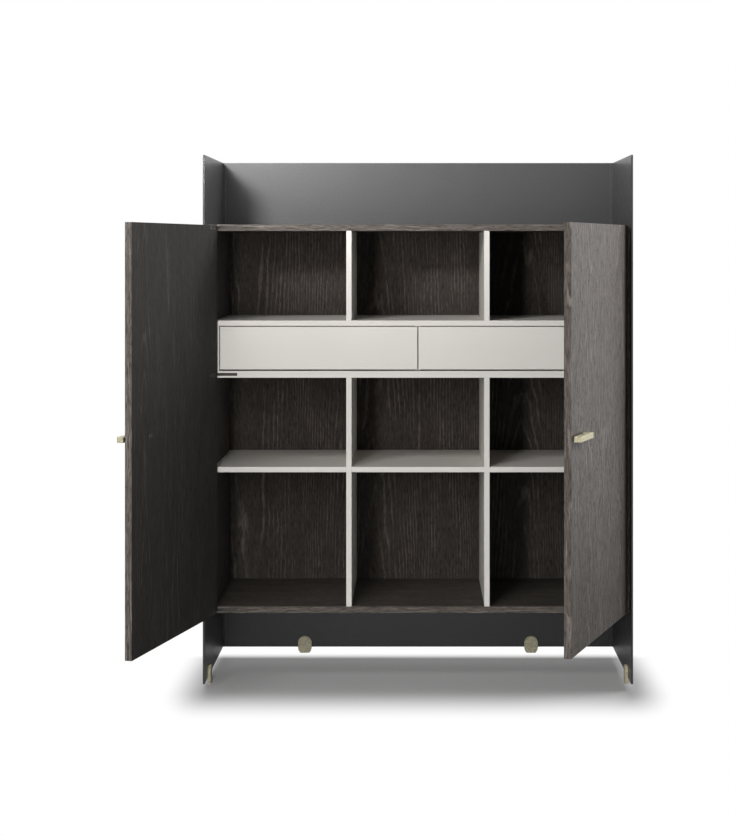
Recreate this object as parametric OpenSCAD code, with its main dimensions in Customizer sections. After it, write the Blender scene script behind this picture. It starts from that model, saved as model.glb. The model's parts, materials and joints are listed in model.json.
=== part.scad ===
// Buffet cabinet: a dark oak carcass hung between the sides of a thin sheet metal shell,
// with a lacquered interior, two drawers, two doors on let-in pivot hinges and four plate feet.
// Z is up, the front faces -Y, and the origin is on the floor under the middle of the shell.

/* [Shell] */
// Width over the side sheets
shell_w = 1200; // [1000:10:1400]
// Depth over the side sheets
shell_d = 466; // [420:1:560]
// Height of the sheets' top edge above the floor
shell_h = 1494; // [1400:1:1700]
// Height of the sheets' bottom edge above the floor
shell_ground = 17; // [12:1:24]
// Thickness of the sheet metal
sheet_t = 5; // [4:0.5:7]
// Width of the side sheets' bent return at the back, over the bend
return_w = 13; // [10:0.5:40]
// Room between the inside of that bend and the boards' chamfered corner
bend_gap = 0.1; // [0.05:0.05:0.15]
// Open seam between a return and the back sheet
seam_gap = 0.4; // [0.1:0.1:0.8]

/* [Feet] */
// Width of a foot plate
foot_w = 41; // [34:1:60]
// Height of a foot plate
foot_h = 50.5; // [48:0.5:70]
// Thickness of a foot plate
foot_t = 8; // [6:0.5:12]
// Height of the lower rounding's centre above the floor
foot_drop = 16; // [10:0.5:16]
// Distance of the side feet's middle from the front of the shell
side_foot_y = 92; // [60:1:200]
// Distance of the back feet from the middle plane
back_foot_x = 345; // [150:5:450]
// Height of the lower screw of a foot above the floor
foot_screw_z = 26; // [25:0.5:28]
// Distance between the two screws of a foot
foot_screw_pitch = 14; // [12:0.5:15]

/* [Carcass] */
// Distance of the carcass from the front of the shell
carcass_setback = 26; // [26:0.5:40]
// Height of the carcass's underside above the floor
carcass_z = 210.5; // [120:0.5:260]
// Depth of the tray over the carcass, below the sheets' top edge
tray_h = 194; // [120:1:260]
// Thickness of the top and bottom panels
panel_t = 18; // [16:0.5:22]
// Thickness of the side panels
side_t = 22; // [18:0.5:28]
// Thickness of the back panel
back_t = 18; // [6:0.5:20]
// Chamfer on the edges of the boards
ease = 0.6; // [0.2:0.1:1]

/* [Interior] */
// Clear width of the middle compartments
middle_w = 372; // [300:1:440]
// Thickness of the upright dividers
divider_t = 15; // [14:0.5:20]
// Clear height of the bottom row of compartments
bottom_row_h = 376.5; // [300:0.5:400]
// Thickness of the shelves
shelf_t = 15; // [14:0.5:20]
// Clear height of the row of compartments above the shelves
second_row_h = 250; // [200:0.5:280]
// Thickness of the board under the drawers
bay_floor_t = 19; // [18:0.5:22]
// Clear height of the drawer bays
bay_h = 126.5; // [124:0.5:160]
// Thickness of the board over the drawers
bay_top_t = 15; // [14:0.5:20]
// Thickness of the drawer bays' side linings
bay_side_t = 16; // [14:0.5:20]
// Thickness of the partition between the drawers
partition_t = 16; // [12:0.5:24]

/* [Drawers] */
// Thickness of a drawer front
front_t = 19; // [17:0.5:22]
// Gap over a drawer front
front_top_gap = 2.5; // [1:0.1:5]
// Gap under a drawer front
front_bottom_gap = 4.2; // [1:0.1:8]
// Gap beside a drawer front, at the lining
front_side_gap = 2; // [1:0.1:4]
// Gap between the two drawer fronts
front_middle_gap = 3; // [2:0.1:6]
// Room behind the drawer box
box_back_gap = 18; // [5:1:60]
// Height of the drawer box
box_h = 92; // [80:1:98]
// Height of the drawer box above the bay's floor
box_lift = 12; // [6:0.5:16]
// Thickness of the drawer box's sides and back
box_t = 12; // [10:0.5:15]
// Thickness of the drawer's bottom
box_bottom_t = 8; // [6:0.5:12]
// Height of the drawer's bottom above the lower edge of its sides
box_bottom_lift = 5; // [2:0.5:10]

/* [Runners] */
// Room for a runner between the bay's wall and the drawer box
runner_w = 13; // [12.5:0.1:15]
// Height of a runner
runner_h = 45; // [40:1:50]
// Length by which a runner is shorter than the drawer box
runner_short = 30; // [4:1:100]
// Wall of the rolled runner sections
runner_t = 1.5; // [1:0.1:2]
// Rolling gap between channel and rail
rolling_gap = 0.4; // [0.3:0.1:0.8]
// Gap between the lips of one runner section and the wall of the other
lip_gap = 2.5; // [1.5:0.1:4]
// Distance of a runner's end screws from its ends
runner_screw_inset = 35; // [20:1:60]

/* [Doors] */
// Thickness of a door
door_t = 19; // [18:0.5:19]
// Distance of the closed doors' outer face from the front of the shell
door_setback = 3; // [3:0.5:6]
// Gap between a closed door and the side sheet
door_side_gap = 2; // [2:0.1:4]
// Gap between the two closed doors
door_middle_gap = 3; // [2:0.1:6]
// Distance of the doors' top edge below the carcass's top face
door_top_gap = 2.5; // [0:0.1:3]
// Distance of the doors' bottom edge above the carcass's underside
door_bottom_gap = 1; // [0:0.1:3]
// Angle at which the left door stands open
left_open = 104.5; // [0:0.5:110]
// Angle at which the right door stands open
right_open = 69.6; // [0:0.1:110]

/* [Hinges] */
// Distance of the hinge pin from the door's hinge edge
pin_inset = 16.5; // [15:0.1:16.5]
// Distance of the hinge pin from the door's outer face
pin_depth = 5; // [5:0.1:5.5]
// Bevel on the hinge edge, at the inner face
hinge_bevel = 10; // [10:0.1:11]
// Diameter of the hinge pin
pin_d = 3; // [2:0.1:3.2]
// Radial running gap between pin and eye
pin_gap = 0.05; // [0.02:0.01:0.08]
// Wall of the eye round the pin
eye_wall = 1.45; // [1.2:0.05:1.6]
// Width of the hinge arm
arm_w = 5; // [4:0.1:5.2]
// Height of the hinge arm
arm_h = 5; // [3:0.1:5.2]
// Lean of the hinge arm towards the middle of the cabinet
arm_lean = 20; // [18:0.5:24]
// Free room round the hinge arm in the door
arm_gap = 0.5; // [0.4:0.1:0.6]
// Length of the hinge plate in the carcass's front edge
plate_l = 66; // [60:1:90]
// Height of the hinge plate
plate_h = 8; // [7.5:0.1:10]
// Depth of the hinge plate
plate_d = 12; // [10:0.5:16]
// Length of the recess that the arm comes out of
plate_mouth_l = 26; // [22:0.5:28]
// Depth of that recess
plate_mouth_d = 6; // [4:0.5:7]
// Width of the plate's rim beside that recess
plate_rim = 2; // [1.5:0.1:2.4]
// Depth of the arm's root in the plate, behind the recess
arm_root = 2; // [1:0.1:2.4]
// Height of the hinge cup in the door
cup_h = 9; // [8.6:0.1:9.6]
// Length of the cup's deep end round the pin, from the pin
cup_nose_l = 12; // [11:0.5:14]
// Reach of the cup's shallow tail, from the pin
cup_tail_l = 46; // [44:0.5:60]
// Depth of the cup's tail
cup_tail_d = 9; // [8:0.5:10]
// Length of the screw recess in the cup's tail
cup_recess_l = 26; // [20:0.5:28]
// Depth of that recess
cup_recess_d = 4; // [3:0.5:5]
// Clearance round the metal let into the wood
let_in_gap = 0.1; // [0.05:0.05:0.2]

/* [Handles] */
// Length of a handle bar
handle_l = 125; // [90:1:200]
// Height of a handle bar
handle_h = 14.2; // [10:0.1:20]
// Depth of a handle bar
handle_d = 17.3; // [10:0.1:24]
// Finger gap between the bar and the door
handle_gap = 6; // [4:0.1:12]
// Length of the foot that carries the bar
handle_foot_l = 25; // [22:0.5:40]
// Distance of the bar's free end from the door's free edge
handle_inset = 4; // [2:0.5:40]
// Height of the handles' middle above the floor
handle_z = 757; // [600:1:900]
// Chamfer on the bar's edges
handle_ease = 0.8; // [0.3:0.1:1.5]

/* [Fasteners] */
// Diameter of the wood screws
screw_d = 3; // [2.5:0.1:3.5]
// Diameter of their countersunk heads
screw_head_d = 5.4; // [5:0.1:5.6]
// Length of the hinge plates' screws
plate_screw_l = 32; // [20:1:40]
// Length of the hinge cups' screws
cup_screw_l = 11; // [8:0.5:11]
// Length of the runners' screws
runner_screw_l = 11; // [6:0.5:11]
// Diameter of the machine screws of feet, handles and shell
bolt_d = 5; // [4:0.1:6]
// Diameter of their countersunk heads
bolt_head_d = 9; // [8:0.1:10.5]
// Metal or wood left in front of a blind bolt's end
bolt_cover = 1; // [0.6:0.1:2]
// Radial gap round the shank of a screw or dowel
fastener_gap = 0.05; // [0.02:0.01:0.1]
// Diameter of the carcass dowels
dowel_d = 8; // [6:0.5:8]
// Length of the carcass dowels
dowel_l = 35; // [30:1:45]
// Depth of the carcass dowels in the board they stand in
dowel_seat = 11; // [8:0.5:13]
// Diameter of the interior dowels
peg_d = 6; // [4:0.5:6]
// Length of the interior dowels
peg_l = 24; // [20:1:30]
// Depth of the interior dowels in the board they stand in
peg_seat = 6; // [5:0.5:6.5]
// Distance of the outermost dowels from the front and back edges
dowel_margin = 60; // [55:1:90]

/* [Hidden] */
$fn = 48;

// Overshoot of a cut beyond the face that it leaves
over = 1;
// Width of a screw's hexagonal drive over its shank's diameter
drive = 0.55;

metal_grey = "#565656";
brass = "#b7ac8c";
oak = "#5b5550";
lacquer = "#d3cfc9";
hinge_black = "#2b2b2b";
zinc = "#a5a5a5";
beech = "#c8a878";

// Planes of the shell
front_y = -shell_d / 2;
back_y = shell_d / 2;
sheet_x = shell_w / 2 - sheet_t;
sheet_y = back_y - sheet_t;
sheet_len = shell_h - shell_ground;
bend_r = ease - bend_gap;

// Planes of the carcass
carcass_y = front_y + carcass_setback;
side_x = sheet_x - side_t;
floor_z = carcass_z + panel_t;
top_z = shell_h - tray_h;
roof_z = top_z - panel_t;
lining_y = sheet_y - back_t;

// Levels and planes of the interior
shelf_z = floor_z + bottom_row_h;
bay_floor_z = shelf_z + shelf_t + second_row_h;
bay_z = bay_floor_z + bay_floor_t;
bay_top_z = bay_z + bay_h;
upper_z = bay_top_z + bay_top_t;
divider_x = middle_w / 2;
bay_side_x = side_x - bay_side_t;
dowel_ys = [carcass_y + dowel_margin, lining_y - dowel_margin];

// The drawers, drawn for the left one
front_hi_x = -front_middle_gap / 2;
front_lo_x = -bay_side_x + front_side_gap;
box_y = carcass_y + front_t;
box_l = lining_y - box_back_gap - box_y;
box_lo_x = -bay_side_x + runner_w;
box_hi_x = -partition_t / 2 - runner_w;
box_z = bay_z + box_lift;
box_floor_z = box_z + box_bottom_lift;
runner_z = box_z + box_h / 2;
runner_y = box_y + let_in_gap;
runner_l = box_l - runner_short;
lip = runner_w - runner_t - lip_gap;

// The doors in their own frame: the pin is at x = 0, y = 0, and +x runs to the free edge
hinge_x = sheet_x - door_side_gap;
door_w = hinge_x - door_middle_gap / 2;
door_z = carcass_z + door_bottom_gap;
door_h = top_z - door_top_gap - door_z;
door_free_x = door_w - pin_inset;
door_out_y = -pin_depth;
door_in_y = door_t - pin_depth;
bevel_x = hinge_bevel - pin_inset;
pivot_x = pin_inset - hinge_x;
pivot_y = front_y + door_setback + pin_depth;
hinge_zs = [carcass_z + panel_t / 2, bay_floor_z + bay_floor_t / 2, top_z - panel_t / 2];

// The hinges, in the same frame
eye_r = pin_d / 2 + pin_gap + eye_wall;
slot_y = -eye_r - arm_gap;
slot_h = arm_h + 2 * arm_gap;
slot_x = (door_in_y * sin(arm_lean) + arm_w / 2 + arm_gap) / cos(arm_lean);
cup_screw_x = (cup_nose_l + cup_tail_l) / 2;
arm_l = (carcass_y + plate_mouth_d + arm_root - pivot_y) / cos(arm_lean);
plate_screw_xs = [plate_rim + plate_mouth_l + screw_head_d, plate_l - screw_head_d];

// The handles, in the same frame
handle_x = door_free_x - handle_inset - handle_l;
handle_y = door_out_y - handle_gap - handle_d;
handle_screw_xs = [handle_x + handle_foot_l / 4, handle_x + handle_foot_l * 3 / 4];

// A board between two opposite corners, with every edge chamfered by c
module board(lo, hi, c = ease) {
    size = hi - lo;
    translate(lo) intersection() {
        linear_extrude(size.z) eased_square(size.x, size.y, c);
        translate([0, size.y, 0]) rotate([90, 0, 0]) linear_extrude(size.y) eased_square(size.x, size.z, c);
        rotate([90, 0, 90]) linear_extrude(size.x) eased_square(size.y, size.z, c);
    }
}

module eased_square(w, h, c) {
    polygon([[c, 0], [w - c, 0], [w, c], [w, h - c], [w - c, h], [c, h], [0, h - c], [0, c]]);
}

// A plain block between two opposite corners
module block(lo, hi) {
    translate(lo) cube(hi - lo);
}

// A countersunk screw along -Z with its head's face at z = 0, grown all round by gap
module screw(l, d, head_d, gap = 0) {
    cone = (head_d - d) / 2;
    difference() {
        rotate_extrude() polygon([
            [0, 0], [head_d / 2 + gap, 0], [d / 2 + gap, -cone],
            [d / 2 + gap, -l + d / 2 - gap], [0, -l - gap]
        ]);
        if (gap == 0) translate([0, 0, -cone]) cylinder(h = cone + over, d = d * drive, $fn = 6);
    }
}

module wood_screw(l, gap = 0) {
    screw(l, screw_d, screw_head_d, gap);
}

module bolt(l, gap = 0) {
    screw(l, bolt_d, bolt_head_d, gap);
}

// A dowel along +Z from its seat's end, grown all round by gap
module dowel(d, l, seat, gap = 0) {
    translate([0, 0, -seat - gap]) cylinder(h = l + 2 * gap, d = d + 2 * gap);
}

// Left and right halves: everything in pairs is drawn for the left
module right() {
    mirror([1, 0, 0]) children();
}

module both() {
    children();
    right() children();
}

// The metal shell
module side_sheet() {
    outer_r = bend_r + sheet_t;
    x0 = -shell_w / 2;
    color(metal_grey) difference() {
        translate([0, 0, shell_ground]) linear_extrude(sheet_len) {
            translate([x0, front_y]) square([sheet_t, shell_d - outer_r]);
            translate([x0 + outer_r, sheet_y]) square([return_w - outer_r, sheet_t]);
            translate([x0 + outer_r, back_y - outer_r]) intersection() {
                difference() {
                    circle(r = outer_r);
                    circle(r = bend_r);
                }
                translate([-outer_r, 0]) square(outer_r);
            }
        }
        side_foot_bolts(fastener_gap);
        shell_bolts(fastener_gap);
    }
}

module left_side_sheet() {
    side_sheet();
}

module right_side_sheet() {
    right() side_sheet();
}

module back_sheet() {
    half_w = shell_w / 2 - return_w - seam_gap;
    color(metal_grey) difference() {
        block([-half_w, sheet_y, shell_ground], [half_w, back_y, shell_h]);
        both() back_foot_bolts(fastener_gap);
    }
}

// The feet: plates with round ends, cut flat where they stand
module foot() {
    r = foot_w / 2;
    linear_extrude(foot_t) intersection() {
        union() {
            translate([0, foot_h - r]) circle(r = r);
            translate([0, foot_drop]) circle(r = r);
            translate([-r, foot_drop]) square([foot_w, foot_h - r - foot_drop]);
        }
        translate([-r, 0]) square([foot_w, foot_h]);
    }
}

module on_side_sheet() {
    translate([-sheet_x, front_y + side_foot_y, 0]) rotate([90, 0, 90]) children();
}

module on_back_sheet() {
    translate([-back_foot_x, sheet_y, 0]) rotate([90, 0, 0]) children();
}

module foot_bolts(gap = 0) {
    l = foot_t + sheet_t - bolt_cover;
    for (i = [0, 1]) translate([0, foot_screw_z + i * foot_screw_pitch, foot_t]) bolt(l, gap);
}

module side_foot_bolts(gap = 0) {
    on_side_sheet() foot_bolts(gap);
}

module back_foot_bolts(gap = 0) {
    on_back_sheet() foot_bolts(gap);
}

module side_foot() {
    color(brass) difference() {
        on_side_sheet() foot();
        side_foot_bolts(fastener_gap);
    }
}

module back_foot() {
    color(brass) difference() {
        on_back_sheet() foot();
        back_foot_bolts(fastener_gap);
    }
}

module left_foot() {
    side_foot();
}

module right_foot() {
    right() side_foot();
}

module back_left_foot() {
    back_foot();
}

module back_right_foot() {
    right() back_foot();
}

module foot_screws() {
    color(brass) both() {
        side_foot_bolts();
        back_foot_bolts();
    }
}

// The carcass, and the bolts that hang it between the side sheets
module shell_bolts(gap = 0) {
    l = side_t + sheet_t - bolt_cover;
    for (y = dowel_ys, z = [floor_z + dowel_margin, roof_z - dowel_margin])
        translate([-side_x, y, z]) rotate([0, 90, 0]) bolt(l, gap);
}

module shell_screws() {
    color(hinge_black) both() shell_bolts();
}

// The dowels of the left half: upright at the corners, level under and over the drawer bay
module corner_dowels(gap = 0) {
    x = -side_x - side_t / 2;
    for (y = dowel_ys) {
        translate([x, y, floor_z]) dowel(dowel_d, dowel_l, dowel_seat, gap);
        translate([x, y, roof_z]) rotate([180, 0, 0]) dowel(dowel_d, dowel_l, dowel_seat, gap);
    }
}

module bay_dowels(gap = 0) {
    for (y = dowel_ys, z = [bay_floor_z + bay_floor_t / 2, bay_top_z + bay_top_t / 2])
        translate([-side_x, y, z]) rotate([0, 90, 0]) dowel(dowel_d, dowel_l, dowel_seat, gap);
}

module carcass_dowels() {
    color(beech) both() {
        corner_dowels();
        bay_dowels();
    }
}

module end_panel(z) {
    difference() {
        board([-sheet_x, carcass_y, z], [sheet_x, sheet_y, z + panel_t]);
        both() {
            corner_dowels(fastener_gap);
            plate_pockets();
        }
        divider_pegs(fastener_gap);
    }
}

module top_panel() {
    color(oak) end_panel(roof_z);
}

module bottom_panel() {
    color(oak) end_panel(carcass_z);
}

module side_panel() {
    color(oak) difference() {
        board([-sheet_x, carcass_y, floor_z], [-side_x, sheet_y, roof_z]);
        corner_dowels(fastener_gap);
        bay_dowels(fastener_gap);
        shell_bolts(fastener_gap);
        shelf_pegs(fastener_gap);
    }
}

module left_panel() {
    side_panel();
}

module right_panel() {
    right() side_panel();
}

module back_panel() {
    color(oak) board([-side_x, lining_y, floor_z], [side_x, sheet_y, roof_z]);
}

// The pegs of the interior. An upright peg's seat is in the board at level z, below it or above it
module upright_pegs(x, z, up, gap) {
    for (y = dowel_ys)
        translate([x, y, z]) rotate([up ? 0 : 180, 0, 0]) dowel(peg_d, peg_l, peg_seat, gap);
}

module divider_pegs(gap = 0) {
    both() {
        x = -divider_x - divider_t / 2;
        upright_pegs(x, floor_z, true, gap);
        upright_pegs(x, bay_floor_z, false, gap);
        upright_pegs(x, upper_z, true, gap);
        upright_pegs(x, roof_z, false, gap);
    }
    upright_pegs(0, bay_z, true, gap);
    upright_pegs(0, bay_top_z, false, gap);
}

// A level peg's seat is in the upright whose face is at x, and the peg points along dir
module level_pegs(x, dir, gap) {
    for (y = dowel_ys)
        translate([x, y, shelf_z + shelf_t / 2])
            rotate([0, 90 * dir, 0]) dowel(peg_d, peg_l, peg_seat, gap);
}

module shelf_pegs(gap = 0) {
    both() {
        level_pegs(-side_x, 1, gap);
        level_pegs(-divider_x - divider_t, -1, gap);
        level_pegs(-divider_x, 1, gap);
    }
}

module interior_dowels() {
    color(beech) {
        divider_pegs();
        shelf_pegs();
    }
}

module divider(z0, z1) {
    color(lacquer) difference() {
        board([-divider_x - divider_t, carcass_y, z0], [-divider_x, lining_y, z1]);
        divider_pegs(fastener_gap);
        shelf_pegs(fastener_gap);
    }
}

module left_upper_divider() {
    divider(upper_z, roof_z);
}

module right_upper_divider() {
    right() divider(upper_z, roof_z);
}

module left_lower_divider() {
    divider(floor_z, bay_floor_z);
}

module right_lower_divider() {
    right() divider(floor_z, bay_floor_z);
}

module shelf(x0, x1) {
    color(lacquer) difference() {
        board([x0, carcass_y, shelf_z], [x1, lining_y, shelf_z + shelf_t]);
        shelf_pegs(fastener_gap);
    }
}

module left_shelf() {
    shelf(-side_x, -divider_x - divider_t);
}

module middle_shelf() {
    shelf(-divider_x, divider_x);
}

module right_shelf() {
    right() left_shelf();
}

module bay_board(z0, z1) {
    color(lacquer) difference() {
        board([-side_x, carcass_y, z0], [side_x, lining_y, z1]);
        divider_pegs(fastener_gap);
        both() {
            bay_dowels(fastener_gap);
            plate_pockets();
        }
    }
}

module drawer_bay_top() {
    bay_board(bay_top_z, upper_z);
}

module drawer_bay_floor() {
    bay_board(bay_floor_z, bay_z);
}

module bay_side() {
    color(lacquer) difference() {
        board([-side_x, carcass_y, bay_z], [-bay_side_x, lining_y, bay_top_z]);
        channel_screws(fastener_gap);
    }
}

module drawer_bay_left_side() {
    bay_side();
}

module drawer_bay_right_side() {
    right() bay_side();
}

module drawer_bay_partition() {
    half_t = partition_t / 2;
    color(lacquer) difference() {
        board([-half_t, box_y + front_middle_gap, bay_z], [half_t, lining_y, bay_top_z]);
        divider_pegs(fastener_gap);
        both() channel_screws(fastener_gap);
    }
}

// The runners. A section's wall is at x = 0, and it opens towards +x
module channel_section() {
    translate([0, -runner_h / 2]) square([runner_t, runner_h]);
    for (s = [-1, 1]) translate([0, s * (runner_h - runner_t) / 2 - runner_t / 2]) square([lip, runner_t]);
}

module rail_section() {
    h = runner_h - 2 * runner_t - 2 * rolling_gap;
    translate([runner_w - runner_t, -h / 2]) square([runner_t, h]);
    for (s = [-1, 1])
        translate([runner_w - lip, s * (h - runner_t) / 2 - runner_t / 2]) square([lip, runner_t]);
}

module run_along() {
    translate([0, runner_y + runner_l, runner_z]) rotate([90, 0, 0]) linear_extrude(runner_l) children();
}

// Both sides of the left drawer bay, each with x = 0 on its wall
module at_bay_walls() {
    translate([-bay_side_x, 0, 0]) children();
    translate([-partition_t / 2, 0, 0]) mirror([1, 0, 0]) children();
}

module at_runner_screws() {
    for (y = [runner_screw_inset, runner_l - runner_screw_inset])
        translate([0, runner_y + y, runner_z]) children();
}

// The partition takes screws from both of its faces, so none reaches its middle
module channel_screws(gap = 0) {
    l = min(runner_screw_l, partition_t / 2 + runner_t - screw_d / 2);
    at_bay_walls() at_runner_screws() translate([runner_t, 0, 0]) rotate([0, 90, 0]) wood_screw(l, gap);
}

module rail_screws(gap = 0) {
    at_bay_walls() at_runner_screws()
        translate([runner_w - runner_t, 0, 0]) rotate([0, -90, 0]) wood_screw(runner_screw_l, gap);
}

module runner_channels() {
    color(zinc) both() difference() {
        at_bay_walls() run_along() channel_section();
        channel_screws(fastener_gap);
    }
}

module drawer_rails() {
    color(zinc) difference() {
        at_bay_walls() run_along() rail_section();
        rail_screws(fastener_gap);
    }
}

module runner_screws() {
    color(zinc) both() {
        channel_screws();
        rail_screws();
    }
}

// The left drawer's pieces
module drawer_pegs(gap = 0) {
    for (x = [box_lo_x + box_t / 2, box_hi_x - box_t / 2], z = [box_z + peg_l, box_z + box_h - peg_l])
        translate([x, box_y, z]) rotate([-90, 0, 0]) dowel(peg_d, peg_l, peg_seat, gap);
}

module drawer_front() {
    color(lacquer) difference() {
        board(
            [front_lo_x, carcass_y, bay_z + front_bottom_gap],
            [front_hi_x, box_y, bay_top_z - front_top_gap]
        );
        drawer_pegs(fastener_gap);
    }
}

module drawer_side(x) {
    color(lacquer) difference() {
        board([x, box_y, box_z], [x + box_t, box_y + box_l, box_z + box_h]);
        drawer_pegs(fastener_gap);
        rail_screws(fastener_gap);
    }
}

module drawer_back() {
    color(lacquer) board(
        [box_lo_x + box_t, box_y + box_l - box_t, box_floor_z + box_bottom_t],
        [box_hi_x - box_t, box_y + box_l, box_z + box_h]
    );
}

module drawer_bottom() {
    color(lacquer) board(
        [box_lo_x + box_t, box_y, box_floor_z],
        [box_hi_x - box_t, box_y + box_l, box_floor_z + box_bottom_t]
    );
}

module drawer_dowels() {
    color(beech) drawer_pegs();
}

module left_drawer_front() {
    drawer_front();
}

module left_drawer_outer_side() {
    drawer_side(box_lo_x);
}

module left_drawer_inner_side() {
    drawer_side(box_hi_x - box_t);
}

module left_drawer_back() {
    drawer_back();
}

module left_drawer_bottom() {
    drawer_bottom();
}

module left_drawer_rails() {
    drawer_rails();
}

module left_drawer_dowels() {
    drawer_dowels();
}

module right_drawer_front() {
    right() drawer_front();
}

module right_drawer_outer_side() {
    right() drawer_side(box_lo_x);
}

module right_drawer_inner_side() {
    right() drawer_side(box_hi_x - box_t);
}

module right_drawer_back() {
    right() drawer_back();
}

module right_drawer_bottom() {
    right() drawer_bottom();
}

module right_drawer_rails() {
    right() drawer_rails();
}

module right_drawer_dowels() {
    right() drawer_dowels();
}

// The hinge plates, let into the carcass's front edges, and the arms that reach the pins
module at_plates() {
    for (z = hinge_zs) translate([-side_x, carcass_y, z]) children();
}

module plate_pockets() {
    at_plates() block(
        [0, -over, -plate_h / 2 - let_in_gap],
        [plate_l + 2 * let_in_gap, plate_d + let_in_gap, plate_h / 2 + let_in_gap]
    );
    plate_screws(fastener_gap);
}

module plate_screws(gap = 0) {
    at_plates() for (x = plate_screw_xs)
        translate([let_in_gap + x, 0, 0]) rotate([90, 0, 0]) wood_screw(plate_screw_l, gap);
}

module hinge_arm() {
    linear_extrude(arm_h) difference() {
        union() {
            circle(r = eye_r);
            rotate(-arm_lean) translate([-arm_w / 2, 0]) square([arm_w, arm_l]);
        }
        circle(r = pin_d / 2 + pin_gap);
    }
}

module hinge_plates() {
    color(hinge_black) difference() {
        union() {
            at_plates() difference() {
                block([let_in_gap, 0, -plate_h / 2], [let_in_gap + plate_l, plate_d, plate_h / 2]);
                block(
                    [plate_rim, -over, -slot_h / 2],
                    [plate_rim + plate_mouth_l, plate_mouth_d, slot_h / 2]
                );
            }
            for (z = hinge_zs) translate([pivot_x, pivot_y, z - arm_h / 2]) hinge_arm();
        }
        plate_screws(fastener_gap);
    }
}

module left_hinge_plates() {
    hinge_plates();
}

module right_hinge_plates() {
    right() hinge_plates();
}

module hinge_plate_screws() {
    color(hinge_black) both() plate_screws();
}

// The doors' pieces, in the door's own frame
module at_cups() {
    for (z = hinge_zs) translate([0, 0, z]) children();
}

module arm_slot(x0) {
    block([x0, slot_y, -slot_h / 2], [slot_x, door_in_y + over, slot_h / 2]);
}

// The cup's outline: deep round the pin and shallow at the tail, grown by gap
module cup_outline(gap = 0) {
    h = cup_h / 2 + gap;
    block([bevel_x, slot_y - gap, -h], [cup_nose_l + gap, door_in_y, h]);
    block([0, door_in_y - cup_tail_d - gap, -h], [cup_tail_l + gap, door_in_y, h]);
}

module cup_recess() {
    r = slot_h / 2;
    reach = cup_recess_l / 2 - r;
    translate([cup_screw_x, door_in_y - cup_recess_d, 0]) rotate([-90, 0, 0]) {
        for (s = [-1, 1]) translate([s * reach, 0, 0]) cylinder(h = cup_recess_d + over, r = r);
        translate([-reach, -r, 0]) cube([2 * reach, 2 * r, cup_recess_d + over]);
    }
}

module cup_screws(gap = 0) {
    at_cups() translate([cup_screw_x, door_in_y - cup_recess_d, 0])
        rotate([-90, 0, 0]) wood_screw(cup_screw_l, gap);
}

module hinge_cups() {
    color(hinge_black) difference() {
        at_cups() difference() {
            cup_outline();
            arm_slot(bevel_x - over);
            translate([0, 0, -cup_h]) cylinder(h = 2 * cup_h, r = pin_d / 2);
            cup_recess();
        }
        cup_screws(fastener_gap);
    }
}

module hinge_pins() {
    color(zinc) at_cups() translate([0, 0, -cup_h / 2]) cylinder(h = cup_h, r = pin_d / 2);
}

module handle_screws(gap = 0) {
    l = door_t + handle_gap + handle_d / 2;
    for (x = handle_screw_xs)
        translate([x, door_in_y, handle_z]) rotate([-90, 0, 0]) bolt(l, gap);
}

module door_panel() {
    color(oak) difference() {
        intersection() {
            board([-pin_inset, door_out_y, door_z], [door_free_x, door_in_y, door_z + door_h]);
            translate([0, 0, door_z]) linear_extrude(door_h) polygon([
                [-pin_inset, door_out_y], [door_free_x, door_out_y], [door_free_x, door_in_y],
                [bevel_x, door_in_y], [-pin_inset, door_in_y - hinge_bevel]
            ]);
        }
        at_cups() {
            intersection() {
                cup_outline(let_in_gap);
                block([bevel_x, -door_t, -cup_h], [cup_tail_l + door_t, door_t, cup_h]);
            }
            arm_slot(-pin_inset - over);
        }
        cup_screws(fastener_gap);
        handle_screws(fastener_gap);
    }
}

module door_handle() {
    z0 = handle_z - handle_h / 2;
    z1 = handle_z + handle_h / 2;
    color(brass) difference() {
        union() {
            board([handle_x, handle_y, z0], [handle_x + handle_l, handle_y + handle_d, z1], handle_ease);
            block(
                [handle_x + handle_ease, handle_y + handle_d / 2, z0 + handle_ease],
                [handle_x + handle_foot_l, door_out_y, z1 - handle_ease]
            );
        }
        handle_screws(fastener_gap);
    }
}

// The doors hung on their pins, each turned open by its angle
module on_left_door() {
    translate([pivot_x, pivot_y, 0]) rotate([0, 0, -left_open]) children();
}

module on_right_door() {
    right() translate([pivot_x, pivot_y, 0]) rotate([0, 0, -right_open]) children();
}

module left_door_panel() {
    on_left_door() door_panel();
}

module left_door_handle() {
    on_left_door() door_handle();
}

module left_door_handle_screws() {
    on_left_door() color(hinge_black) handle_screws();
}

module left_door_hinge_cups() {
    on_left_door() hinge_cups();
}

module left_door_hinge_pins() {
    on_left_door() hinge_pins();
}

module left_door_cup_screws() {
    on_left_door() color(hinge_black) cup_screws();
}

module right_door_panel() {
    on_right_door() door_panel();
}

module right_door_handle() {
    on_right_door() door_handle();
}

module right_door_handle_screws() {
    on_right_door() color(hinge_black) handle_screws();
}

module right_door_hinge_cups() {
    on_right_door() hinge_cups();
}

module right_door_hinge_pins() {
    on_right_door() hinge_pins();
}

module right_door_cup_screws() {
    on_right_door() color(hinge_black) cup_screws();
}

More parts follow.
